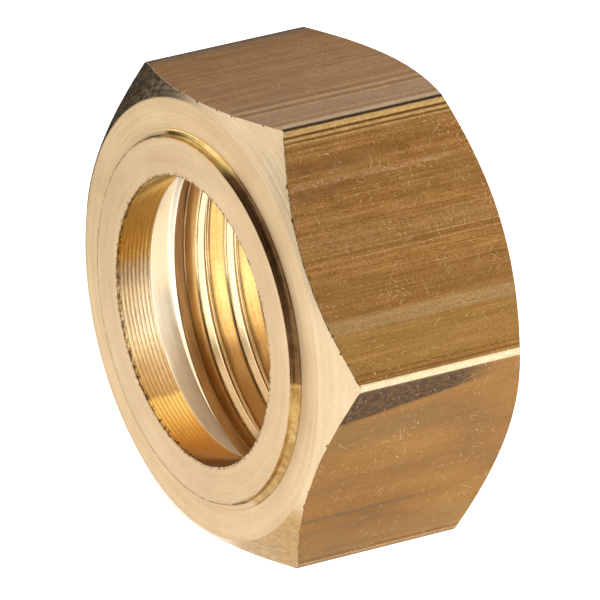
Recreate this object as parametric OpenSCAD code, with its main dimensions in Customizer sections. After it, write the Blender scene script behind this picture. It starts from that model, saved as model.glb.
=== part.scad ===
// Union nut for a 15 mm compression joint: one brass piece, turned from hexagon bar.
// The axis of the nut lies along Y. The pipe enters at the raised ring (Y = 0) and the
// fitting body screws into the mouth at the far end (+Y). Two hexagon flats face +Z and -Z.

/* [Hexagon bar] */
// Width across the hexagon flats
hex_af = 24; // [23.5:0.1:27]
// Radius on the six long corners of the drawn bar
corner_r = 0.35; // [0.2:0.05:0.8]
// Length between the two turned end faces, without the raised ring
body_len = 12.2; // [11:0.1:16]
// Angle of the chamfers that take the corners off, from the end faces
chamfer_angle = 32; // [20:1:40]
// Diameter of the turned circle where each chamfer meets its end face
face_d = 23.44; // [22.4:0.02:23.48]

/* [Raised ring] */
// Outside diameter of the raised ring at its front edge
ring_d = 19.5; // [18:0.1:20.5]
// Height of the raised ring above the front end face
ring_h = 0.45; // [0.45:0.05:0.8]
// Fillet radius at the foot of the raised ring
ring_fillet_r = 0.4; // [0.1:0.05:0.4]

/* [Pipe bore and seat] */
// Diameter of the bore that clears the 15 mm pipe
bore_d = 15.4; // [15.2:0.1:16]
// Length of the bore from the front of the ring to the start of the seat
bore_len = 2.1; // [1.5:0.1:2.5]
// Angle between the conical seat and the axis
seat_angle = 40; // [36:1:50]

/* [Thread] */
// Major diameter of the internal pipe thread, G 1/2
thread_major_d = 20.955; // [20.955]
// Diameter at the thread's flat crests, bored before the thread is cut
thread_core_d = 19; // [18.64:0.02:19.16]
// Thread pitch, 14 turns to the inch
thread_pitch = 1.814; // [1.814]
// Included angle of the thread form
thread_angle = 55; // [55]
// Length of plain wall between the seat and the first groove
first_land = 0.24; // [0.1:0.02:0.4]
// How far the mouth chamfer opens beyond the thread's major radius
mouth_relief = 0.25; // [0.1:0.05:0.4]

/* [Hidden] */
brass = "#c9a063";

// Facets on a full turn of each turned surface, and of each corner's arc
round_fn = 96;
corner_fn = 32;
// Steps round the fillet at the foot of the ring
fillet_steps = 6;
// Amount by which a cutting shape passes the surface that it cuts
over = 1;

hex_corner_r = hex_af / 2 / cos(30);
corner_axis_r = hex_corner_r - corner_r / cos(30);
total_len = ring_h + body_len;
ring_r = ring_d / 2;
face_r = face_d / 2;
chamfer_reach = hex_corner_r + over;
chamfer_drop = (chamfer_reach - face_r) * tan(chamfer_angle);

bore_r = bore_d / 2;
major_r = thread_major_d / 2;
core_r = thread_core_d / 2;
seat_end = bore_len + (core_r - bore_r) / tan(seat_angle);
mouth_r = major_r + mouth_relief;
thread_end = total_len - (mouth_r - core_r);

// The thread's turns stand as parallel ring grooves, with the thread's pitch and flank angle.
// Each groove's root is a flat of a sixth of the pitch.
root_half = thread_pitch / 12;
groove_half = root_half + (major_r - core_r) * tan(thread_angle / 2);
first_groove = seat_end + first_land + groove_half;
grooves = 1 + floor((thread_end - groove_half - first_groove) / thread_pitch);

// Points of a concave fillet at the foot of the ring, from the ring's wall out to the face
function foot_fillet() = [
    for (i = [0:fillet_steps])
        let (a = 90 * i / fillet_steps)
        [ring_r + ring_fillet_r * (1 - cos(a)), ring_h - ring_fillet_r * (1 - sin(a))]
];

// Points of one groove, from its front edge to its back edge
function groove_points(centre) = [
    [core_r, centre - groove_half],
    [major_r, centre - root_half],
    [major_r, centre + root_half],
    [core_r, centre + groove_half]
];

// Section of the drawn bar, with a true arc on each corner
module bar_section() {
    polygon([
        for (k = [0:5])
            for (side = [-30, 30])
                corner_axis_r * [cos(60 * k), sin(60 * k)]
                    + corner_r * [cos(60 * k + side), sin(60 * k + side)]
    ]);
    for (k = [0:5])
        rotate(60 * k)
            translate([corner_axis_r, 0])
                circle(r = corner_r, $fn = corner_fn);
}

// Everything that the lathe leaves outside: ring, end faces and the two corner chamfers
module turned_outside() {
    rotate_extrude($fn = round_fn)
        polygon(concat(
            [[0, 0], [ring_r, 0]],
            foot_fillet(),
            [
                [face_r, ring_h],
                [chamfer_reach, ring_h + chamfer_drop],
                [chamfer_reach, total_len - chamfer_drop],
                [face_r, total_len],
                [0, total_len]
            ]
        ));
}

// Everything that is bored out: pipe bore, conical seat, thread and mouth chamfer
module turned_inside() {
    rotate_extrude($fn = round_fn)
        polygon(concat(
            [[0, -over], [bore_r, -over], [bore_r, bore_len], [core_r, seat_end]],
            [
                for (k = [0:grooves - 1])
                    each groove_points(first_groove + k * thread_pitch)
            ],
            [[core_r, thread_end], [mouth_r + over, total_len + over], [0, total_len + over]]
        ));
}

module union_nut() {
    color(brass)
        rotate([-90, 0, 0])
            difference() {
                intersection() {
                    linear_extrude(height = total_len) bar_section();
                    turned_outside();
                }
                turned_inside();
            }
}

union_nut();
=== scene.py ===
import math

import bpy
import numpy as np
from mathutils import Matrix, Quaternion, Vector


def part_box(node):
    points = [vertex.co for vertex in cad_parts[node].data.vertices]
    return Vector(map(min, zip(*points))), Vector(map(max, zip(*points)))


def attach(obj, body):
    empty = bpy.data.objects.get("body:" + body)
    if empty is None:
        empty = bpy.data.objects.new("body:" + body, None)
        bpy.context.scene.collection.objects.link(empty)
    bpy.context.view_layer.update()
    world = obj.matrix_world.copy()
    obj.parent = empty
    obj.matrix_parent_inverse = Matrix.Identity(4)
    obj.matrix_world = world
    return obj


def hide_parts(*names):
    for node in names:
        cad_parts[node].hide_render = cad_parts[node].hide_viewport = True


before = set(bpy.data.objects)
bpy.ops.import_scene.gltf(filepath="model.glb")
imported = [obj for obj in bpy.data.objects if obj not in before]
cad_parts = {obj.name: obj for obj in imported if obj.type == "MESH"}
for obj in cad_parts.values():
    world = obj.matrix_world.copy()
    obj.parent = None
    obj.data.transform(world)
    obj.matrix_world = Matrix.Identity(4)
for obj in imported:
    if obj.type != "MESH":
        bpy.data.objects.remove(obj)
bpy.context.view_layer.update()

NUT = "union_nut"
MM = 0.001
TAU = 2 * math.pi

# ---------------------------------------------------------------- sizes of the CAD part, in millimetres
low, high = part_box(NUT)
TOTAL_LEN = high.y / MM
HALF_AF = high.z / MM
CORNER_R = 0.35
RING_R = 9.75
RING_H = 0.45
RING_FILLET = 0.4
FACE_R = 11.72
CHAMFER = math.radians(32)
BORE_R = 7.7
BORE_LEN = 2.1
SEAT_ANGLE = math.radians(40)
CORE_R = 9.5
MAJOR_R = 10.4775
SEAT_END = BORE_LEN + (CORE_R - BORE_R) / math.tan(SEAT_ANGLE)
MOUTH_R = MAJOR_R + 0.25
PITCH = 1.814

# the groove of the helical thread: a rounded root between straight flanks, and one place that it passes
ROOT_ROUND = 0.249
ROOT_HALF = 0.221
FLANK_R = 10.3435
FLANK_SLOPE = 1.921
GROOVE_Y = 5.14
GROOVE_TURN = math.radians(203)

# the tool's feed in the pipe bore, from one ridge to the next
FEED = 0.24

# slots of the finishes, one for each kind of surface
RING, FACE, BAR, CHAMFERED, BORED, BURNISHED, SEAT, LAND, BACK_EDGE = range(9)


def waves(t, count, shortest, longest, seed, period=None):
    """A smooth random curve over t, from about -1 to 1. With a period, it closes on itself."""
    r = np.random.default_rng(seed)
    out = np.zeros_like(t, float)
    total = 0.0
    for _ in range(count):
        length = shortest * (longest / shortest) ** r.random()
        if period:
            length = period / max(1, round(period / length))
        size = length**0.5
        out += size * np.sin(TAU * (t / length + r.random()))
        total += size
    return out / total * 1.6


def smooth_max(a, b, k):
    return 0.5 * (a + b + np.sqrt((a - b) ** 2 + k * k))


def smooth_min(a, b, k):
    return 0.5 * (a + b - np.sqrt((a - b) ** 2 + k * k))


def col(values):
    return np.asarray(values, float)[:, None]


def steps(start, end, count, last=True):
    """Evenly spaced values. Without last, the end itself is left out."""
    values = start + (end - start) * np.linspace(0, 1, count)
    return values if last else values[:-1]


# ---------------------------------------------------------------- columns round the hexagon
HEX_CORNER_R = HALF_AF / math.cos(math.radians(30))
CORNER_AXIS = HEX_CORNER_R - CORNER_R / math.cos(math.radians(30))
FLAT_HALF = CORNER_AXIS / 2
ARC_HALF_STEPS = 3
EDGE_STEPS = 10
EDGE_ZONE = 0.9
MID_STEPS = 30


def hexagon_columns():
    """Angle, radius, side and place across the flat of every column. Each side starts mid-corner."""
    inner = FLAT_HALF - EDGE_ZONE
    across = np.concatenate([
        np.linspace(-FLAT_HALF, -inner, EDGE_STEPS, endpoint=False),
        np.linspace(-inner, inner, MID_STEPS, endpoint=False),
        np.linspace(inner, FLAT_HALF, EDGE_STEPS + 1),
    ])
    rows = []
    for side in range(6):
        turn = math.radians(60 * side + 30)
        out = np.array([math.cos(turn), math.sin(turn)])
        along = np.array([-out[1], out[0]])

        def on_corner(end, share):
            a = share * math.radians(30)
            centre = out * (HALF_AF - CORNER_R) + along * end * FLAT_HALF
            point = centre + CORNER_R * (out * math.cos(a) + along * math.sin(a))
            return point, end * FLAT_HALF + CORNER_R * a

        points = [on_corner(-1, k / ARC_HALF_STEPS - 1) for k in range(ARC_HALF_STEPS)]
        points += [(out * HALF_AF + along * u, u) for u in across]
        points += [on_corner(1, k / ARC_HALF_STEPS) for k in range(1, ARC_HALF_STEPS)]
        rows += [(math.atan2(p[1], p[0]) % TAU, math.hypot(*p), side, u) for p, u in points]
    return np.array(rows)


THETA, HEX_R, SIDE, ACROSS = hexagon_columns().T
THETA = np.where(THETA > TAU - 1e-6, 0.0, THETA)
SIDE = SIDE.astype(int)
N = len(THETA)

# how far each flat falls away before its last corner, in millimetres, by side
ROLL_OFF = (0.03, 0.006, 0.018, 0.01, 0.014, 0.008)
ROLL_FROM = 5.85
ROLL_WIDTH = 0.8


def flat_wear():
    """How far the drawn flats fall short of true: long waves, and die lines beside the corners."""
    dip = np.zeros(N)
    for side in range(6):
        on = SIDE == side
        u = ACROSS[on]
        wave = 0.0063 * (1 + waves(u, 6, 1.6, 7.0, 40 + side))
        lines = 0.0
        r = np.random.default_rng(80 + side)
        for end in (-1, 1):
            for _ in range(2):
                at = end * (FLAT_HALF - r.uniform(0.12, 0.8))
                depth = r.uniform(0.006, 0.016)
                width = r.uniform(0.05, 0.1)
                lines = lines + depth * np.exp(-(((u - at) / width) ** 2))
        roll = ROLL_OFF[side] * np.clip((u - ROLL_FROM) / ROLL_WIDTH, 0, 1) ** 1.6
        dip[on] = (wave + lines + roll) * (np.abs(u) < 0.999 * FLAT_HALF)
    return dip


BAR_R = HEX_R - flat_wear()


def nicks(count, seed, width, depth):
    """Small notches at random places round an edge."""
    r = np.random.default_rng(seed)
    out = np.zeros(N)
    for _ in range(count):
        gap = (THETA - r.uniform(0, TAU) + math.pi) % TAU - math.pi
        out += r.uniform(0.3, 1) * depth * np.exp(-((gap / (width * r.uniform(0.5, 1.5))) ** 2))
    return out


def worn_edge(mean, sway, wave, notches):
    """Radius of a rounded edge all round the nut. It sways about its mean, and notches deepen it."""
    return mean + sway * waves(THETA, *wave, TAU) + nicks(*notches)


ring_edge = worn_edge(0.030, 0.008, (8, 0.2, 1.5, 3), (16, 5, 0.012, 0.06))
bore_edge = worn_edge(0.028, 0.008, (8, 0.15, 1.2, 4), (44, 6, 0.010, 0.08))
flat_edge = worn_edge(0.035, 0.008, (10, 0.1, 1.2, 12), (60, 13, 0.008, 0.05))
mouth_edge = worn_edge(0.05, 0.015, (8, 0.2, 1.5, 21), (20, 22, 0.02, 0.04))

# ---------------------------------------------------------------- rows, from the bore edge out and back in
rows_r, rows_y, rows_material = [], [], []
EDGE_ARC = np.radians([0, 30, 60])
FILLET_ARC = np.radians([25, 35, 45, 55, 65, 75])
SUPPORT = 0.015
BEND = 0.03


def band(r, y, material):
    """Adds rows of vertices. material is for the faces between each row and the next one."""
    r, y = np.broadcast_arrays(np.atleast_2d(r), np.atleast_2d(y))
    for row_r, row_y in zip(r, y):
        rows_r.append(np.broadcast_to(row_r, (N,)))
        rows_y.append(np.broadcast_to(row_y, (N,)))
        rows_material.append(material)


def tool_marks(r, feed, height):
    """Height of the marks that a feeding tool leaves on a turned face."""
    return height * (1 + np.sin(TAU * r / feed))


# the raised ring: its face, its worn edge, its wall and the fillet at its foot
bore_in = BORE_R + bore_edge
ring_out = RING_R - ring_edge
r = bore_in + SUPPORT + col(steps(0, 1, 10)) * (ring_out - bore_in - 2 * SUPPORT)
band(r, tool_marks(r, 0.21, 0.0006), RING)
for a in EDGE_ARC:
    band(ring_out + ring_edge * math.sin(a), ring_edge * (1 - math.cos(a)), BURNISHED)
band(RING_R, ring_edge, BURNISHED)
for a in FILLET_ARC:
    band(RING_R + RING_FILLET * (1 - math.cos(a)), RING_H - RING_FILLET * (1 - math.sin(a)), BURNISHED)

# the front end face, with grooves that fade in and out round the turn
r = col(steps(RING_R + RING_FILLET - 0.02, FACE_R - BEND, 30))
drift = 0.15 * waves(THETA, 5, 0.8, 3.0, 9, TAU)
grooves = 0.003 * (1 + np.sin(TAU * (r / 0.19 + drift))) * (0.55 + 0.45 * waves(THETA, 5, 1.0, 4.0, 10, TAU))
band(r, RING_H + np.abs(grooves) * (r > RING_R + RING_FILLET + 0.02), FACE)

CHAMFER_TURN = math.pi / 2 - CHAMFER


def chamfer_rows(sense, count):
    """Rows from the front end face out to the flats (sense 1), or their mirror image at the back (-1)."""
    tangent = flat_edge * math.tan(CHAMFER_TURN / 2)
    drop = (BAR_R - FACE_R) * math.tan(CHAMFER)
    start = FACE_R + BEND
    end = BAR_R - tangent * math.cos(CHAMFER)
    out_r = [start + (end - start) * g for g in steps(0, 1, count)]
    out_y = [(r - FACE_R) * math.tan(CHAMFER) for r in out_r]
    for left in (0.75, 0.5, 0.25, 0):
        b = CHAMFER_TURN * left
        out_r.append(BAR_R - flat_edge + flat_edge * math.cos(b))
        out_y.append(drop + tangent - flat_edge * math.sin(b))
    out_r, out_y = np.array(out_r), np.array(out_y)
    if sense < 0:
        return out_r[::-1], TOTAL_LEN - out_y[::-1]
    return out_r, RING_H + out_y


# the front chamfer, the flats, the back chamfer and the back end face
front_r, front_y = chamfer_rows(1, 13)
back_r, back_y = chamfer_rows(-1, 9)
flat_start, flat_end = front_y[-1], back_y[0]
band(front_r[:-1], front_y[:-1], CHAMFERED)
f = col(np.concatenate([[0, 0.004], steps(0.05, 0.95, 10), [0.996]]))
band(BAR_R, flat_start + (flat_end - flat_start) * f, BAR)
band(back_r[:4], back_y[:4], BACK_EDGE)
band(back_r[4:], back_y[4:], CHAMFERED)

f = col(steps(0, 1, 11))
start, end = FACE_R - BEND, MOUTH_R + mouth_edge
r = start + (end - start) * f
band(r, TOTAL_LEN - tool_marks(r, 0.24, 0.0025) * (f > 0) * (f < 1), FACE)
band(MOUTH_R + 0.25 * mouth_edge, TOTAL_LEN - 0.3 * mouth_edge, BORED)


def groove_reach(along):
    """Greatest radius of the groove. It fades out on the cone, over its first turn. along is in turns."""
    return np.interp(along, [-0.36, -0.3, -0.2, -0.05, 0.45, 0.8], [5.0, 9.3, 9.9, 10.14, 10.2, 10.6])


def bore_radius(y, theta):
    """Radius inside the nut at depth y: chamfered mouth, helical thread, conical seat, pipe bore."""
    base = np.interp(y, [BORE_LEN, SEAT_END, 40], [BORE_R, CORE_R, CORE_R])
    base = smooth_max(base, MOUTH_R - (TOTAL_LEN - y), 0.03)
    first = GROOVE_Y - PITCH * (theta - GROOVE_TURN) / TAU
    turns = np.round((y - first) / PITCH)
    d = np.abs(y - first - turns * PITCH)
    root = MAJOR_R - ROOT_ROUND + np.sqrt(np.maximum(ROOT_ROUND**2 - np.minimum(d, ROOT_HALF) ** 2, 0))
    groove = np.where(d < ROOT_HALF, root, FLANK_R - FLANK_SLOPE * (d - ROOT_HALF))
    groove = smooth_min(groove, groove_reach(turns - (theta - GROOVE_TURN) / TAU), 0.05)
    return smooth_max(base, groove, 0.045)


def ridges(y, theta):
    """The feed ridges of the pipe bore. They stop short of both its ends."""
    phase = y / FEED + 0.05 * waves(theta, 4, 1.0, 4.0, 30, TAU)
    size = 0.0036 * np.clip((y - 0.15) / 0.1, 0, 1) * np.clip((BORE_LEN - y) / 0.15, 0, 1)
    return size * (1 - (2 * (phase % 1) - 1) ** 2)


# the mouth and the thread, then the seat, the pipe bore and its worn edge
y = col(np.concatenate([
    steps(TOTAL_LEN - 0.06, 11.4, 14, last=False),
    steps(11.4, 9.0, 28, last=False),
    steps(9.0, SEAT_END - 0.02, 74),
]))
wobble = 0.0015 * np.sin(TAU * y / 0.13 + 3 * waves(THETA, 4, 1, 4, 33, TAU))
thread = slice(len(rows_r), len(rows_r) + len(y))
band(bore_radius(y, THETA) + wobble, y, BORED)
y = col(np.concatenate([steps(SEAT_END - 0.06, BORE_LEN + 0.03, 16), [BORE_LEN, BORE_LEN - 0.03]]))
band(bore_radius(y, THETA), y, SEAT)
y = col(steps(BORE_LEN - 0.06, 0.2, 40))
band(BORE_R + ridges(y, THETA), y, LAND)
for a in EDGE_ARC:
    band(BORE_R + bore_edge * (1 - math.cos(a)), bore_edge * (1 - math.sin(a)), LAND)
band(bore_in, 0.0, RING)

# ---------------------------------------------------------------- the mesh: a closed grid, rows by columns
R = np.array(rows_r)
Y = np.array(rows_y)
M = len(R)
grid = np.stack([R * np.cos(THETA), Y, R * np.sin(THETA)], -1)


def grid_normals(p):
    """Area-weighted vertex normals of the closed grid."""
    down = np.roll(p, -1, 0)
    right = np.roll(p, -1, 1)
    both = np.roll(down, -1, 1)
    face = np.cross(both - p, right - down)
    total = face + np.roll(face, 1, 0) + np.roll(face, 1, 1) + np.roll(face, (1, 1), (0, 1))
    return total / np.linalg.norm(total, axis=-1, keepdims=True)


def grid_mesh(name, points, material_of_face):
    """A mesh with one quad between every two rows and two columns, the last ones joined to the first."""
    i = np.arange(M)[:, None]
    j = np.arange(N)[None, :]
    i2, j2 = (i + 1) % M, (j + 1) % N
    quads = np.stack([i * N + j, i2 * N + j, i2 * N + j2, i * N + j2], -1).reshape(-1, 4)
    result = bpy.data.meshes.new(name)
    result.vertices.add(M * N)
    result.vertices.foreach_set("co", (points.reshape(-1) * MM).astype(np.float32))
    result.loops.add(quads.size)
    result.loops.foreach_set("vertex_index", quads.reshape(-1).astype(np.int32))
    result.polygons.add(len(quads))
    result.polygons.foreach_set("loop_start", (np.arange(len(quads)) * 4).astype(np.int32))
    result.polygons.foreach_set("loop_total", np.full(len(quads), 4, np.int32))
    result.polygons.foreach_set("use_smooth", np.ones(len(quads), bool))
    result.polygons.foreach_set("material_index", material_of_face.reshape(-1).astype(np.int32))
    result.update(calc_edges=True)
    result.validate()
    result.normals_split_custom_set_from_vertices(grid_normals(points).reshape(-1, 3).astype(np.float32))
    return result


# the plain wall before the first groove has the seat's finish
finish = np.repeat(np.array(rows_material)[:, None], N, 1)
plain = (R[thread] < CORE_R + 0.12) & (Y[thread] < GROOVE_Y - 0.3)
finish[thread][plain] = SEAT
mesh = grid_mesh("union_nut_body", grid, finish)

# "bar" is the place on the bar's skin: across its flats, along the bar, and from the middle of the flat.
# Each flat has a stretch of the pattern to itself.
SIDE_STEP = 40.0
nxt = (np.arange(N) + 1) % N
left_u = ACROSS + SIDE_STEP * SIDE
chord = np.hypot(HEX_R[nxt] * np.cos(THETA[nxt]) - HEX_R * np.cos(THETA),
                 HEX_R[nxt] * np.sin(THETA[nxt]) - HEX_R * np.sin(THETA))
right_u = np.where(SIDE[nxt] == SIDE, ACROSS[nxt], ACROSS + chord) + SIDE_STEP * SIDE
next_y = np.roll(Y, -1, 0)
bar = np.zeros((M, N, 4, 3), np.float32)
for corner, u, from_middle, along in ((0, left_u, np.abs(ACROSS), Y),
                                      (1, left_u, np.abs(ACROSS), next_y),
                                      (2, right_u, np.abs(ACROSS[nxt]), np.roll(next_y, -1, 1)),
                                      (3, right_u, np.abs(ACROSS[nxt]), np.roll(Y, -1, 1))):
    bar[:, :, corner, 0] = u
    bar[:, :, corner, 1] = along
    bar[:, :, corner, 2] = from_middle

# "stain" is how far each place lies in the shallow first groove, which the bored finish makes darker and
# rougher
stain = np.zeros((M, N), np.float32)
turns_in = (Y[thread] - GROOVE_Y) / PITCH + (THETA - GROOVE_TURN) / TAU
from_root = (turns_in - np.round(turns_in)) * PITCH
stain[thread] = (np.interp(np.round(turns_in) - (THETA - GROOVE_TURN) / TAU, [0.35, 0.75], [1, 0])
                 * np.clip((R[thread] - CORE_R - 0.1) / 0.3, 0, 1)
                 * np.clip((0.38 - from_root) / 0.10, 0, 1))

# "rim" is the distance from the edge between the front chamfer and the flats
rim = np.clip(np.hypot(Y - flat_start, np.maximum(BAR_R - R, 0)), 0, 5).astype(np.float32)

for name, kind, values in (("stain", "FLOAT", stain), ("rim", "FLOAT", rim)):
    mesh.attributes.new(name, kind, "POINT").data.foreach_set("value", values.reshape(-1))
mesh.attributes.new("bar", "FLOAT_VECTOR", "CORNER").data.foreach_set("vector", bar.reshape(-1))


# ---------------------------------------------------------------- materials
class Graph:
    """A short way to write a node tree."""

    def __init__(self, tree):
        self.tree = tree

    def node(self, kind, inputs=(), **settings):
        n = self.tree.nodes.new(kind)
        for k, v in settings.items():
            setattr(n, k, v)
        for k, v in dict(inputs).items():
            if isinstance(v, bpy.types.NodeSocket):
                self.tree.links.new(v, n.inputs[k])
            elif v is not None:
                n.inputs[k].default_value = v
        return n

    def math(self, operation, a, b=None, c=None):
        return self.node("ShaderNodeMath", {0: a, 1: b, 2: c}, operation=operation).outputs[0]

    def vector(self, operation, a, b=None):
        return self.node("ShaderNodeVectorMath", {0: a, 1: b}, operation=operation).outputs

    def add(self, a, b):
        return self.math("ADD", a, b)

    def sub(self, a, b):
        return self.math("SUBTRACT", a, b)

    def mul(self, a, b):
        return self.math("MULTIPLY", a, b)

    def total(self, *parts, start=None):
        """A weighted sum. Each part is a value and its weight."""
        result = start
        for value, weight in parts:
            part = self.mul(value, weight)
            result = part if result is None else self.add(result, part)
        return result

    def scaled(self, vector, factors):
        return self.vector("MULTIPLY", vector, factors)[0]

    def split(self, vector):
        return self.node("ShaderNodeSeparateXYZ", {0: vector}).outputs

    def noise(self, vector, scale, detail=3, rough=0.55):
        n = self.node("ShaderNodeTexNoise", {"Vector": vector, "Scale": scale, "Detail": detail,
                                             "Roughness": rough})
        return n.outputs["Fac"]

    def stretched(self, vector, factors, detail=3, rough=0.55):
        return self.noise(self.scaled(vector, factors), 1.0, detail, rough)

    def attribute(self, name):
        return self.node("ShaderNodeAttribute", attribute_name=name).outputs

    def distance(self, place, point):
        return self.vector("DISTANCE", place, point)["Value"]

    def step(self, value, start, end, low=0.0, high=1.0):
        n = self.node("ShaderNodeMapRange", {"Value": value, "From Min": start, "From Max": end,
                                             "To Min": low, "To Max": high},
                      interpolation_type="SMOOTHSTEP")
        return n.outputs[0]

    def window(self, value, centre, half, soft):
        """1 near centre, falling to 0 at half + soft away from it."""
        return self.step(self.math("ABSOLUTE", self.sub(value, centre)), half + soft, half)

    def ramp(self, value, *stops):
        n = self.node("ShaderNodeValToRGB", {"Fac": value})
        e = n.color_ramp.elements
        while len(e) < len(stops):
            e.new(0.5)
        for item, (at, colour) in zip(e, stops):
            item.position = at
            item.color = (*colour, 1)
        return n.outputs[0]

    def mix(self, factor, a, b, blend="MIX"):
        n = self.node("ShaderNodeMix", data_type="RGBA", blend_type=blend)
        for k, v in ((0, factor), (6, a), (7, b)):
            if isinstance(v, bpy.types.NodeSocket):
                self.tree.links.new(v, n.inputs[k])
            else:
                n.inputs[k].default_value = v if k == 0 else (*v, 1)
        return n.outputs[2]

    def metal(self, colour, roughness, height, strength, distance):
        """The surface: bare metal with fine relief. distance is in metres."""
        bump = self.node("ShaderNodeBump", {"Height": height, "Strength": strength, "Distance": distance})
        shader = self.node("ShaderNodeBsdfPrincipled", {"Base Color": colour, "Metallic": 1.0,
                                                        "Roughness": roughness, "Normal": bump.outputs[0]})
        self.node("ShaderNodeOutputMaterial", {"Surface": shader.outputs[0]})


def new_material(name):
    m = bpy.data.materials.new(name)
    m.use_nodes = True
    m.node_tree.nodes.clear()
    return m, Graph(m.node_tree)


def object_mm(g):
    """Object-space place in millimetres, its parts, and the distance from the nut's axis."""
    place = g.scaled(g.node("ShaderNodeTexCoord").outputs["Object"], (1000, 1000, 1000))
    xyz = g.split(place)
    radius = g.math("SQRT", g.add(g.mul(xyz[0], xyz[0]), g.mul(xyz[2], xyz[2])))
    return place, xyz, radius


def rings(g, place, radius, scale, along, rough=0.6):
    """Noise that changes fast with the radius and slowly round the turn."""
    slow = g.split(g.scaled(place, (along, along, along)))
    vector = g.node("ShaderNodeCombineXYZ", {0: g.mul(radius, scale), 1: slow[0], 2: slow[2]}).outputs[0]
    return g.noise(vector, 1.0, 2, rough)


def specks(g, vector, scale, size, share):
    """Round specks, in a share of the cells of a random pattern."""
    n = g.node("ShaderNodeTexVoronoi", {"Vector": vector, "Scale": scale, "Randomness": 1.0})
    near = g.step(n.outputs["Distance"], size, size * 0.4)
    pick = g.node("ShaderNodeSeparateColor", {0: n.outputs["Color"]}).outputs[0]
    return g.mul(near, g.math("GREATER_THAN", pick, 1 - share))


def hairlines(g, vector, cell, length, width, share, seed):
    """Straight and slightly bent scratches at random angles, at most one in each cell of a grid."""
    p = g.node("ShaderNodeVectorMath", {0: vector, 3: 1 / cell}, operation="SCALE").outputs[0]
    p = g.vector("ADD", p, (seed * 0.37, seed * 0.71, 0))[0]
    home = g.vector("FLOOR", p)[0]
    f = g.split(g.vector("FRACTION", p)[0])
    chance = g.node("ShaderNodeTexWhiteNoise", {"Vector": home}, noise_dimensions="3D").outputs
    dice = g.node("ShaderNodeSeparateColor", {0: chance["Color"]}).outputs
    x = g.sub(f[0], g.add(0.4, g.mul(dice[0], 0.2)))
    y = g.sub(f[1], g.add(0.4, g.mul(dice[1], 0.2)))
    angle = g.mul(dice[2], math.pi)
    c, s = g.math("COSINE", angle), g.math("SINE", angle)
    along = g.add(g.mul(x, c), g.mul(y, s))
    off = g.sub(g.mul(y, c), g.mul(x, s))
    off = g.add(off, g.mul(g.mul(along, along), g.math("MULTIPLY_ADD", dice[0], 0.5, -0.25)))
    line = g.step(g.math("ABSOLUTE", off), width, width * 0.2)
    reach = g.mul(length, g.add(0.35, g.mul(dice[1], 0.65)))
    inside = g.math("LESS_THAN", g.math("ABSOLUTE", along), reach)
    return g.mul(g.mul(line, inside), g.math("LESS_THAN", chance["Value"], share))


def chips(g, place, scale, least):
    """Small chips in the edge between the front chamfer and the flats."""
    reach = g.step(g.noise(place, scale, 2, 0.6), least, least + 0.14, -0.02, 0.13)
    return g.step(g.sub(g.attribute("rim")["Fac"], reach), 0.02, -0.02)


def burr(g, place, gap, reach):
    """Ragged dark notches beside the edge of the pipe bore. gap is the distance from the edge."""
    depth = g.step(g.noise(place, 4.6, 3, 0.8), 0.46, 0.60, reach, reach + 0.17)
    return g.step(g.sub(gap, depth), 0.02, -0.02)


def up_right(g, xyz):
    """How far a place lies from the axis, towards the right and a little upwards."""
    return g.add(xyz[0], g.mul(xyz[2], 0.41))


# the front corners of the chamfer: low right, with chatter marks and painted shade, and matt (top left)
SHADED_CHATTER_CORNER = (6.9, 1.2, -11.95)
MATT_CORNER = (-6.9, 1.2, 11.95)


def ring_face_marks(g, place, xyz, radius, colour):
    """Burrs round the pipe bore, and a broken dark line along the ring's left edge."""
    colour = g.mix(g.mul(burr(g, place, g.sub(radius, BORE_R), 0.015), 0.85), colour, (0.16, 0.07, 0.015))
    far_side = g.step(up_right(g, xyz), 2.6, 1.4)
    dashes = g.step(g.noise(place, 1.9, 3, 0.7), 0.38, 0.56, 0.25, 0.8)
    foot_line = g.window(radius, RING_R - 0.055, 0.015, 0.03)
    return g.mix(g.mul(g.mul(foot_line, far_side), dashes), colour, (0.17, 0.085, 0.025))


def chamfer_marks_and_shade(g, place, colour, roughness, height):
    """The chamfers' marks: chatter marks under painted shade at the low right corner, a matt corner, and
    chips along the edge.
    """
    chatter_and_shade = g.step(g.distance(place, SHADED_CHATTER_CORNER), 5.6, 3.6)
    chatter = g.stretched(place, (2.2, 3.0, 5.0), 4, 0.7)
    shaded_chatter_tone = g.ramp(chatter, (0.36, (0.31, 0.18, 0.058)), (0.64, (0.46, 0.285, 0.105)))
    # painted shade: the low right corner is darker, over real chatter marks in the relief
    colour = g.mix(g.mul(chatter_and_shade, 0.9), colour, shaded_chatter_tone)
    colour = g.mix(g.mul(chips(g, place, 3.2, 0.56), 0.85), colour, (0.10, 0.05, 0.015))
    matt = g.step(g.distance(place, MATT_CORNER), 5.0, 3.0)
    mottle = g.noise(place, 2.6, 4, 0.75)
    roughness = g.add(roughness, g.mul(matt, g.step(mottle, 0.45, 0.62, 0.0, 0.10)))
    height = g.total((g.mul(chatter, chatter_and_shade), 3.0), (g.mul(mottle, matt), 1.2), start=height)
    return colour, roughness, height


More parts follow.
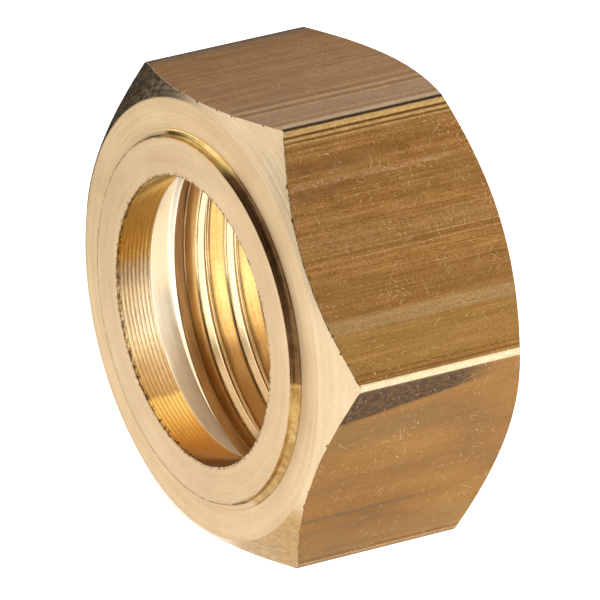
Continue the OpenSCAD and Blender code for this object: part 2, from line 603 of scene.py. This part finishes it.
def turned_brass(name, dark, light, rough, fine_scale, line_depth, ring=False, chamfer=False):
    """A turned face: fine rings from the tool, a few deeper lines, clouds, grain and pits."""
    m, g = new_material(name)
    place, xyz, radius = object_mm(g)
    fine = rings(g, place, radius, fine_scale, 0.05, 0.7)
    line = g.window(rings(g, place, radius, 3.1, 0.05), 0.5, 0.0, 0.05)
    broad = rings(g, place, radius, 1.1, 0.10)
    cloud = g.noise(place, 0.35, 4, 0.6)
    grain = g.noise(place, 11.0, 3, 0.7)
    tone = g.total((broad, 0.30), (cloud, 0.26), (fine, 0.20), (grain, 0.24))
    colour = g.ramp(tone, (0.38, dark), (0.64, light))
    pits = specks(g, place, 1.9, 0.13, 0.10)
    dots = specks(g, place, 3.7, 0.16, 0.05)
    dim = g.total((line, line_depth), (pits, 0.4), (dots, 0.35))
    colour = g.mix(dim, colour, tuple(0.4 * c for c in dark))
    roughness = g.total((fine, 0.12), (grain, 0.08), start=rough)
    height = g.total((grain, 0.5), (pits, -1.5), (line, -0.5), start=fine)
    if ring:
        colour = ring_face_marks(g, place, xyz, radius, colour)
    if chamfer:
        colour, roughness, height = chamfer_marks_and_shade(g, place, colour, roughness, height)
    g.metal(colour, roughness, height, 0.5, 0.000012)
    return m


def on_side(side, across):
    return SIDE_STEP * side + across


# marks on the flats: die and handling marks, and painted reflections, highlights and shade, such as the
# bands beside the corners. ALL is the whole length of the bar, and past both its ends.
BAR_END = 13
ALL = (-1.0, 20.0)
# for each side: place across the flat from and to, (along the bar from and to), tint, amount,
# how much the mark narrows, how broken up it is, and how soft its sides are
BAR_MARKS_AND_REFLECTIONS = {
    # low right
    5: [
        # painted reflection: the near-black patch below the right corner
        (4.10, 6.70, (-1.0, 10.4), (0.012, 0.010, 0.008), 0.95, 0.62, 0.3, 0.16),
        (-3.30, -3.00, (0.5, 9.6), (0.15, 0.09, 0.045), 0.70, 0.3, 0.3, 0.08),
        (-4.40, -3.95, (0.5, 8.0), (0.18, 0.11, 0.05), 0.55, 0.3, 0.4, 0.10),
        (2.2, 4.2, (-1.0, 9.0), (0.22, 0.135, 0.045), 0.50, 0.2, 0.3, 0.6),
        (-6.3, -4.6, ALL, (0.25, 0.155, 0.055), 0.50, 0.0, 0.3, 0.3),
        (-6.50, -6.40, ALL, (0.10, 0.05, 0.02), 0.75, 0.0, 0.3, 0.03),
        (-6.72, -6.56, ALL, (0.50, 0.34, 0.15), 0.7, 0.0, 0.4, 0.03),
        (-7.0, -6.82, ALL, (0.03, 0.015, 0.006), 0.96, 0.0, 0.2, 0.02),
        (-6.82, -6.72, ALL, (0.20, 0.115, 0.045), 0.7, 0.0, 0.4, 0.02),
        # painted highlight along the right corner
        (6.70, 7.0, ALL, (0.80, 0.66, 0.42), 0.90, 0.0, 0.2, 0.02),
    ],
    # bottom
    4: [
        (6.65, 7.0, ALL, (0.03, 0.015, 0.006), 0.96, 0.0, 0.2, 0.02),
    ],
    # upper right
    0: [
        (-4.00, -3.25, ALL, (0.42, 0.31, 0.145), 0.46, 0.0, 0.35, 0.10),
        (-6.2, -4.1, ALL, (0.36, 0.21, 0.060), 0.40, 0.0, 0.3, 0.20),
        (-3.1, -1.4, ALL, (0.19, 0.085, 0.022), 0.40, 0.0, 0.4, 0.35),
        (3.72, 4.00, (-1.0, 12.5), (0.54, 0.32, 0.21), 0.50, 0.3, 0.95, 0.10),
        (4.15, 5.0, (0.2, 7.0), (0.12, 0.055, 0.028), 0.55, 0.3, 0.6, 0.20),
        (3.05, 3.65, (0.2, 5.5), (0.12, 0.055, 0.028), 0.65, 0.3, 0.6, 0.12),
        (0.13, 0.18, ALL, (0.60, 0.36, 0.19), 0.75, 0.0, 0.6, 0.03),
        (-0.27, -0.20, ALL, (0.52, 0.31, 0.15), 0.55, 0.0, 0.6, 0.03),
        (0.3, 1.2, ALL, (0.46, 0.27, 0.12), 0.35, 0.0, 0.7, 0.20),
        # painted shade and reflections beside the top corner, in dark and bright lines
        (6.60, 7.0, ALL, (0.47, 0.31, 0.12), 0.90, 0.0, 0.35, 0.03),
        (6.85, 7.2, ALL, (0.02, 0.009, 0.003), 0.95, 0.0, 0.1, 0.02),
        (6.47, 6.58, ALL, (0.06, 0.028, 0.008), 0.90, 0.0, 0.2, 0.03),
        (6.30, 6.44, ALL, (0.58, 0.39, 0.16), 0.70, 0.0, 0.4, 0.03),
        (6.20, 6.27, ALL, (0.06, 0.028, 0.008), 0.85, 0.0, 0.3, 0.03),
        (6.05, 6.16, ALL, (0.62, 0.42, 0.17), 0.55, 0.0, 0.5, 0.03),
        (5.84, 5.92, ALL, (0.10, 0.045, 0.012), 0.50, 0.0, 0.5, 0.04),
        (-6.55, -6.46, ALL, (0.10, 0.045, 0.012), 0.70, 0.0, 0.3, 0.03),
        (-6.26, -6.18, ALL, (0.14, 0.07, 0.02), 0.50, 0.0, 0.4, 0.03),
        # painted highlight along the right corner
        (-7.0, -6.70, ALL, (0.80, 0.66, 0.42), 0.90, 0.0, 0.2, 0.02),
    ],
    # top
    1: [
        # beside the top corner: a near-black band of painted shade, then a bright band of painted reflection
        (-7.0, -6.68, ALL, (0.018, 0.008, 0.003), 0.96, 0.0, 0.1, 0.03),
        (-6.66, -6.15, ALL, (0.68, 0.48, 0.24), 0.75, 0.0, 0.4, 0.05),
        (-5.35, -4.15, ALL, (0.48, 0.30, 0.21), 0.45, 0.0, 0.4, 0.10),
        (-6.05, -5.80, ALL, (0.30, 0.18, 0.12), 0.50, 0.0, 0.3, 0.05),
        (-4.12, -3.92, ALL, (0.66, 0.46, 0.20), 0.70, 0.0, 0.4, 0.04),
        (-3.80, -3.60, ALL, (0.17, 0.09, 0.04), 0.60, 0.0, 0.3, 0.05),
        (-3.42, -3.12, ALL, (0.64, 0.44, 0.19), 0.65, 0.0, 0.4, 0.05),
        (-2.60, -2.35, ALL, (0.58, 0.39, 0.17), 0.50, 0.0, 0.6, 0.08),
        (-3.05, -2.75, ALL, (0.19, 0.10, 0.045), 0.50, 0.0, 0.4, 0.10),
        (-1.15, -0.95, ALL, (0.50, 0.33, 0.15), 0.40, 0.0, 0.6, 0.08),
        (-5.78, -5.45, ALL, (0.60, 0.41, 0.19), 0.50, 0.0, 0.5, 0.06),
        (6.45, 7.0, ALL, (0.13, 0.085, 0.06), 0.75, 0.0, 0.2, 0.05),
    ],
}


def bar_mark(g, uvw, wander, grain, breaks, low_edge, high_edge, length, narrows, broken, soft):
    """How strongly one entry shows at each place on the bar: a real mark, or a painted reflection, highlight
    or shade.
    """
    start, end = length
    lower = low_edge
    if narrows:
        lower = g.node("ShaderNodeMapRange", {
            "Value": uvw[1], "From Min": max(start, 0), "From Max": end,
            "To Min": low_edge, "To Max": low_edge + narrows * (high_edge - low_edge)}).outputs[0]
    across = wander if soft > 0.05 else uvw[0]
    mark = g.mul(g.step(g.sub(across, lower), -soft, soft),
                 g.step(across, high_edge + soft, high_edge - soft))
    if start > 0:
        mark = g.mul(mark, g.step(uvw[1], start, start + 0.8))
    if end < BAR_END:
        mark = g.mul(mark, g.step(uvw[1], end, end - 2.8))
    if broken:
        mark = g.mul(mark, g.mul(g.step(grain, 0.34, 0.60, 1 - broken, 1.0),
                                 g.step(breaks, 0.0, 1.0, 1 - broken, 1.0)))
    return mark


def drawn_brass(name):
    """The flats: streaks along the bar under a thin oxide, with marks, painted reflections, and painted
    light in each flat's tone.
    """
    m, g = new_material(name)
    place = object_mm(g)[0]
    skin = g.attribute("bar")["Vector"]
    uvw = g.split(skin)
    flat_place = g.scaled(skin, (1, 1, 0))
    streak_fine = g.stretched(skin, (14, 0.16, 0), 3, 0.65)
    streak_mid = g.stretched(skin, (4.2, 0.05, 0), 3, 0.6)
    streak_wide = g.stretched(skin, (0.9, 0.04, 0), 2, 0.5)
    grain = g.stretched(skin, (9, 7, 0), 2, 0.8)
    smudge = g.stretched(skin, (1.5, 0.7, 0), 4, 0.65)
    tone = g.total((streak_fine, 0.24), (streak_mid, 0.20), (streak_wide, 0.12),
                   (grain, 0.30), (smudge, 0.14))
    colour = g.ramp(tone, (0.385, (0.120, 0.049, 0.010)), (0.50, (0.262, 0.123, 0.033)),
                    (0.615, (0.455, 0.248, 0.086)))
    olive = g.step(g.stretched(skin, (0.5, 0.28, 0), 4, 0.6), 0.40, 0.62)
    colour = g.mix(g.mul(olive, 0.28), colour, (0.26, 0.145, 0.040))

    # painted light: the top flat is lighter, and the low right flat has its own calmer, lighter tone
    top = g.window(uvw[0], on_side(1, 0), 6.8, 0.02)
    low_right = g.window(uvw[0], on_side(5, 0), 6.8, 0.02)
    colour = g.mix(top, colour, (1.36, 1.36, 1.32), "MULTIPLY")
    broad = g.stretched(skin, (0.42, 0.16, 0), 2, 0.5)
    calm_lit_tone = g.ramp(g.total((broad, 0.75), (grain, 0.25)), (0.36, (0.212, 0.103, 0.023)),
                  (0.52, (0.292, 0.134, 0.026)), (0.66, (0.345, 0.174, 0.040)))
    colour = g.mix(g.mul(low_right, 0.72), colour, calm_lit_tone)

    wander = g.add(uvw[0], g.mul(g.sub(smudge, 0.5), 0.25))
    breaks = g.step(g.stretched(skin, (6.0, 2.2, 0), 3, 0.75), 0.40, 0.60)
    for side, marks in BAR_MARKS_AND_REFLECTIONS.items():
        for low_edge, high_edge, length, tint, amount, narrows, broken, soft in marks:
            mark = bar_mark(g, uvw, wander, grain, breaks, on_side(side, low_edge), on_side(side, high_edge),
                            length, narrows, broken, soft)
            colour = g.mix(g.mul(mark, amount), colour, tint)

    # scratches and specks, in crowds: cell, length, width, share of cells and seed of each kind
    crowd = g.step(g.stretched(skin, (0.45, 0.45, 0), 2, 0.5), 0.42, 0.62, 0.35, 1.0)
    scratches = 0.0
    for kind in ((0.55, 0.40, 0.050, 0.22, 5), (0.9, 0.36, 0.030, 0.20, 1), (1.7, 0.34, 0.014, 0.22, 9),
                 (0.35, 0.40, 0.075, 0.16, 14)):
        scratches = g.math("MAXIMUM", scratches, hairlines(g, flat_place, *kind))
    dots = g.math("MAXIMUM", g.mul(specks(g, flat_place, 1.6, 0.10, 0.17), 0.9),
                  g.mul(specks(g, flat_place, 4.6, 0.22, 0.10), 0.45))
    bright = g.mul(g.math("MAXIMUM", g.mul(scratches, 0.40), dots), crowd)
    colour = g.mix(bright, colour, (0.78, 0.58, 0.33))
    dark_dots = specks(g, g.scaled(skin, (1, 0.8, 0)), 2.3, 0.10, 0.08)
    colour = g.mix(g.mul(dark_dots, 0.6), colour, (0.08, 0.035, 0.012))
    colour = g.mix(g.mul(chips(g, place, 5.0, 0.55), 0.8), colour, (0.07, 0.03, 0.01))

    # the die leaves the flats smoother beside the corners
    beside = g.step(uvw[2], 5.9, 6.3)
    roughness = g.total((streak_mid, 0.10), (grain, 0.10), start=g.step(beside, 0.0, 1.0, 0.36, 0.22))
    height = g.total((streak_fine, 0.9), (streak_mid, 1.3), (grain, 0.6), (bright, 0.8))
    g.metal(colour, roughness, height, 0.5, 0.00002)
    return m


def bored_brass(name, dark, light, rough, low_from, low_to, low_tint):
    """Bright bored wall, a little browner at the low side, darker and rougher in the shallow first groove.
    """
    m, g = new_material(name)
    place, xyz, _ = object_mm(g)
    lines = g.stretched(place, (0.12, 9.0, 0.12), 3, 0.6)
    grain = g.noise(place, 6.0, 3, 0.65)
    cloud = g.noise(place, 0.8, 3, 0.6)
    colour = g.ramp(g.total((lines, 0.55), (grain, 0.45)), (0.35, dark), (0.65, light))
    low_side = g.step(g.add(xyz[2], g.mul(g.sub(cloud, 0.5), 3.0)), low_from, low_to)
    colour = g.mix(g.mul(low_side, 0.8), colour, low_tint)
    first_groove_share = g.attribute("stain")["Fac"]
    first_groove_tone = g.ramp(g.stretched(place, (0.5, 22.0, 0.5), 3, 0.7), (0.35, (0.11, 0.036, 0.007)),
                  (0.7, (0.34, 0.155, 0.036)))
    colour = g.mix(g.mul(first_groove_share, 0.92), colour, first_groove_tone)
    roughness = g.total((lines, 0.14), (first_groove_share, 0.15), start=rough)
    g.metal(colour, roughness, g.total((grain, 0.3), start=lines), 0.4, 0.00001)
    return m


def land_brass(name):
    """The pipe bore's ridged wall, with painted reflections: cream at mid height, golden above, darker
    below.
    """
    m, g = new_material(name)
    place, xyz, _ = object_mm(g)
    grain = g.noise(g.scaled(place, (1.0, 5.0, 1.0)), 3.0, 3, 0.7)
    cream_reflection = g.ramp(grain, (0.35, (0.80, 0.68, 0.47)), (0.65, (0.93, 0.83, 0.64)))
    gold_reflection = g.ramp(grain, (0.35, (0.96, 0.74, 0.26)), (0.65, (1.0, 0.88, 0.42)))
    amber_reflection = g.ramp(grain, (0.35, (0.86, 0.59, 0.15)), (0.65, (1.0, 0.76, 0.26)))
    wander = g.mul(g.sub(g.noise(place, 0.9, 3, 0.6), 0.5), 2.0)
    height = g.add(xyz[2], wander)
    low_edge = g.add(xyz[2], g.mul(wander, 0.25))
    # painted reflections by height: cream in the middle, amber and golden above, darker below, then a golden
    # band and a dark band at the bottom
    colour = g.mix(g.step(height, 0.1, 1.5), cream_reflection, amber_reflection)
    colour = g.mix(g.step(height, 2.0, 4.0), colour, gold_reflection)
    colour = g.mix(g.mul(g.step(height, -2.6, -5.8), 0.85), colour, (0.52, 0.34, 0.15))
    colour = g.mix(g.step(low_edge, -5.80, -6.0), colour, (0.92, 0.70, 0.30))
    colour = g.mix(g.step(low_edge, -6.3, -7.6), colour, (0.50, 0.26, 0.08))

    # darker between the ridges, less so towards the top
    phase = g.math("FRACT", g.total((xyz[1], 1 / FEED), (g.stretched(place, (0.3, 0.0, 0.3), 2, 0.5), 0.3)))
    between = g.sub(1.0, g.window(phase, 0.5, 0.35, 0.13))
    between_ridges_dark = g.mul(between, g.step(height, 2.6, 0.6, 0.16, 0.44))
    colour = g.mix(between_ridges_dark, colour, (0.28, 0.145, 0.04))
    colour = g.mix(g.mul(burr(g, place, xyz[1], 0.03), 0.9), colour, (0.11, 0.05, 0.012))
    g.metal(colour, g.total((grain, 0.14), start=0.14), grain, 0.4, 0.00001)
    return m


def burnished_brass(name):
    """The ring's wall and fillet: painted golden reflections at the top and low right, painted shade
    between, matt at the left.
    """
    m, g = new_material(name)
    place, xyz, radius = object_mm(g)
    lines = g.stretched(place, (0.25, 16.0, 0.25), 3, 0.6)
    stain = g.noise(place, 1.6, 4, 0.65)
    colour = g.ramp(g.total((lines, 0.5), (stain, 0.5)), (0.36, (0.40, 0.235, 0.072)),
                    (0.66, (0.66, 0.45, 0.18)))
    # painted reflection: a darker golden tone on the low side
    low_reflection_tone = g.ramp(stain, (0.36, (0.26, 0.135, 0.035)), (0.66, (0.50, 0.32, 0.12)))
    colour = g.mix(g.mul(g.step(xyz[2], -0.3, -0.9), 0.8), colour, low_reflection_tone)

    # painted shade: a dark band on the wall's right side, between the golden parts
    ragged = g.add(xyz[2], g.mul(g.sub(stain, 0.5), 0.8))
    shade = g.mul(g.step(ragged, -0.75, -0.45), g.step(xyz[0], 2.4, 3.6))
    shade = g.mul(shade, g.step(radius, RING_R + 0.385, RING_R + 0.34))
    shade_tone = g.ramp(g.total((lines, 0.6), (stain, 0.4)), (0.38, (0.055, 0.022, 0.007)),
                  (0.64, (0.27, 0.135, 0.055)))
    colour = g.mix(g.mul(shade, 0.93), colour, shade_tone)
    # painted reflection: golden at the top
    top_reflection_tone = g.ramp(stain, (0.36, (0.74, 0.47, 0.13)), (0.66, (0.92, 0.66, 0.26)))
    colour = g.mix(g.mul(g.step(xyz[2], 8.9, 9.4), 0.75), colour, top_reflection_tone)

    left = g.step(up_right(g, xyz), 1.9, 0.7)
    matt = g.mix(g.step(xyz[2], -2.0, 2.0), (0.66, 0.49, 0.29), (0.80, 0.62, 0.37))
    colour = g.mix(left, colour, matt)

    # thin dark lines: at the foot of the fillet all round, and along the ring's edge at the left
    foot = g.mul(g.window(radius, RING_R + RING_FILLET - 0.03, 0.02, 0.03),
                 g.step(left, 0.0, 1.0, 0.75, 0.25))
    edge = g.window(radius, g.add(RING_R - 0.03, g.mul(stain, 0.10)), 0.03, 0.04)
    colour = g.mix(g.math("MAXIMUM", foot, g.mul(edge, g.mul(left, 0.85))), colour, (0.10, 0.05, 0.015))
    roughness = g.total((lines, 0.12), (left, 0.45), (shade, 0.30), start=0.12)
    g.metal(colour, roughness, lines, 0.5, 0.00001)
    return m


def back_edge_brass(name):
    """The edge between the flats and the back chamfer, dark with handling."""
    m, g = new_material(name)
    grain = g.noise(object_mm(g)[0], 7.0, 3, 0.7)
    colour = g.ramp(grain, (0.35, (0.10, 0.045, 0.014)), (0.65, (0.26, 0.13, 0.045)))
    g.metal(colour, g.total((grain, 0.2), start=0.35), grain, 0.4, 0.00001)
    return m


MATERIALS = {
    RING: turned_brass("brass_ring_face", (0.525, 0.368, 0.203), (0.68, 0.508, 0.308), 0.40, 8.0, 0.06,
                       ring=True),
    FACE: turned_brass("brass_turned_face", (0.53, 0.372, 0.198), (0.715, 0.535, 0.32), 0.38, 7.0, 0.07),
    BAR: drawn_brass("brass_drawn_bar"),
    CHAMFERED: turned_brass("brass_chamfer", (0.53, 0.385, 0.225), (0.69, 0.54, 0.345), 0.14, 9.0, 0.03,
                            chamfer=True),
    BORED: bored_brass("brass_bored", (0.77, 0.56, 0.29), (0.94, 0.79, 0.50), 0.12, -2.5, -7.5,
                       (0.36, 0.20, 0.08)),
    SEAT: bored_brass("brass_seat", (0.84, 0.74, 0.56), (0.96, 0.89, 0.76), 0.30, -1.8, -6.0,
                      (0.56, 0.38, 0.20)),
    BURNISHED: burnished_brass("brass_burnished"),
    LAND: land_brass("brass_pipe_bore"),
    BACK_EDGE: back_edge_brass("brass_back_edge"),
}
for key in sorted(MATERIALS):
    mesh.materials.append(MATERIALS[key])

nut = bpy.data.objects.new("union_nut_body", mesh)
bpy.context.scene.collection.objects.link(nut)
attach(nut, "root")
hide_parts(NUT)

# ---------------------------------------------------------------- studio pieces, sizes in millimetres
FLOOR_HALF = 40000.0
FLOOR_Z = -HALF_AF
CARD_Z = FLOOR_Z + 0.01
BACKDROP_R = 1000.0
BACKDROP_PANELS = 24
WHITE = (1, 1, 1, 1)


def studio_piece(name, points, faces, paint=None, glow=0):
    """A plain piece of the studio, painted, glowing white, or both."""
    data = bpy.data.meshes.new(name)
    data.from_pydata([tuple(MM * c for c in point) for point in points], [], faces)
    obj = bpy.data.objects.new(name, data)
    bpy.context.scene.collection.objects.link(obj)
    material, g = new_material(name)
    parts = []
    if paint:
        parts.append(g.node("ShaderNodeBsdfDiffuse", {"Color": paint}).outputs[0])
    if glow:
        parts.append(g.node("ShaderNodeEmission", {"Color": WHITE, "Strength": glow}).outputs[0])
    surface = parts[0]
    if len(parts) == 2:
        surface = g.node("ShaderNodeAddShader", {0: parts[0], 1: parts[1]}).outputs[0]
    g.node("ShaderNodeOutputMaterial", {"Surface": surface})
    data.materials.append(material)
    return obj


def wall(x0, y0, x1, y1, height):
    """Corners of an upright card that stands on the floor."""
    return [(x0, y0, CARD_Z), (x1, y1, CARD_Z), (x1, y1, height), (x0, y0, height)]


QUAD = [(0, 1, 2, 3)]
h = FLOOR_HALF
studio_piece("floor", [(-h, -h, FLOOR_Z), (h, -h, FLOOR_Z), (h, h, FLOOR_Z), (-h, h, FLOOR_Z)], QUAD,
             paint=(0.5, 0.5, 0.5, 1), glow=1.25)

# a black flag at the left and a lit panel behind, which the camera doesn't see
flag = studio_piece("flag_left", wall(-40, -14, -40, 50, 24), QUAD, paint=(0.04, 0.035, 0.03, 1))
panel = studio_piece("panel_back", wall(-80, 70, 115, 70, 55), QUAD, glow=2.3)
flag.visible_camera = panel.visible_camera = False

# a round white backdrop that only the camera sees: it fills the picture above the floor in a low view
turns = [TAU * k / BACKDROP_PANELS for k in range(BACKDROP_PANELS)]
points = [(BACKDROP_R * math.cos(a), BACKDROP_R * math.sin(a), z)
          for z in (CARD_Z, BACKDROP_R) for a in turns]
nexts = [(k + 1) % BACKDROP_PANELS for k in range(BACKDROP_PANELS)]
faces = [(k, n, BACKDROP_PANELS + n, BACKDROP_PANELS + k) for k, n in enumerate(nexts)]
backdrop = studio_piece("backdrop", points, faces, glow=1.5)
backdrop.visible_diffuse = backdrop.visible_glossy = False
backdrop.visible_transmission = backdrop.visible_shadow = False

# ---------------------------------------------------------------- studio light
BASE = 0.62
# bright soft patches: towards, inner and outer half-angle in degrees, added strength
LOBES = [
    ((0.86, 0.48, 0.10), 20, 40, 0.5),
    ((-0.40, -0.84, 0.34), 20, 40, 0.8),
    ((0.15, 0.48, 0.86), 20, 30, 1.0),
    ((-0.3, 0.95, 0.10), 25, 50, 0.8),
    ((-0.88, 0.42, 0.40), 16, 40, 1.15),
]
# dark soft patches: towards, inner and outer half-angle in degrees, share of the light taken away
DARKS = [
    ((-1.0, -0.10, 0.05), 18, 30, 0.9),
    ((-0.65, 0.48, 0.585), 12, 18, 0.9),
    ((0.30, -0.60, 0.74), 36, 42, 0.95),
    ((0.80, -0.48, 0.20), 30, 40, 0.93),
]

world = bpy.data.worlds.new("studio")
bpy.context.scene.world = world
world.use_nodes = True
world.node_tree.nodes.clear()
g = Graph(world.node_tree)
direction = g.node("ShaderNodeTexCoord").outputs["Generated"]


def patch(towards, inner, outer, outside, inside):
    """A round soft patch of the sky, from its value outside to its value inside."""
    dot = g.vector("DOT_PRODUCT", direction, tuple(Vector(towards).normalized()))["Value"]
    return g.step(dot, math.cos(math.radians(outer)), math.cos(math.radians(inner)), outside, inside)


level = BASE
for towards, inner, outer, strength in LOBES:
    level = g.add(level, patch(towards, inner, outer, 0.0, strength))
for towards, inner, outer, depth in DARKS:
    level = g.mul(level, patch(towards, inner, outer, 1.0, 1.0 - depth))
sky = g.node("ShaderNodeBackground", {"Color": WHITE, "Strength": level})
g.node("ShaderNodeOutputWorld", {"Surface": sky.outputs[0]})

# ---------------------------------------------------------------- camera, at the photograph's angle
AZIMUTH, ELEVATION, ROLL = math.radians(59.225), math.radians(19.965), math.radians(-1.849)
AIM = Vector((0.148, 6.449, -0.175)) * MM
DISTANCE = 0.5571
LENS = 641.7
SENSOR = 36
back = Vector((math.sin(AZIMUTH) * math.cos(ELEVATION),
               -math.cos(AZIMUTH) * math.cos(ELEVATION),
               math.sin(ELEVATION)))
camera_data = bpy.data.cameras.new("camera")
camera_data.lens = LENS
camera_data.sensor_width = SENSOR
camera_data.clip_start = 0.05
camera_data.clip_end = 200
camera = bpy.data.objects.new("camera", camera_data)
camera.location = AIM + back * DISTANCE
camera.rotation_mode = "QUATERNION"
camera.rotation_quaternion = (-back).to_track_quat("-Z", "Y") @ Quaternion((0, 0, 1), ROLL)
bpy.context.scene.collection.objects.link(camera)
bpy.context.scene.camera = camera
bpy.context.scene.view_settings.view_transform = "Standard"
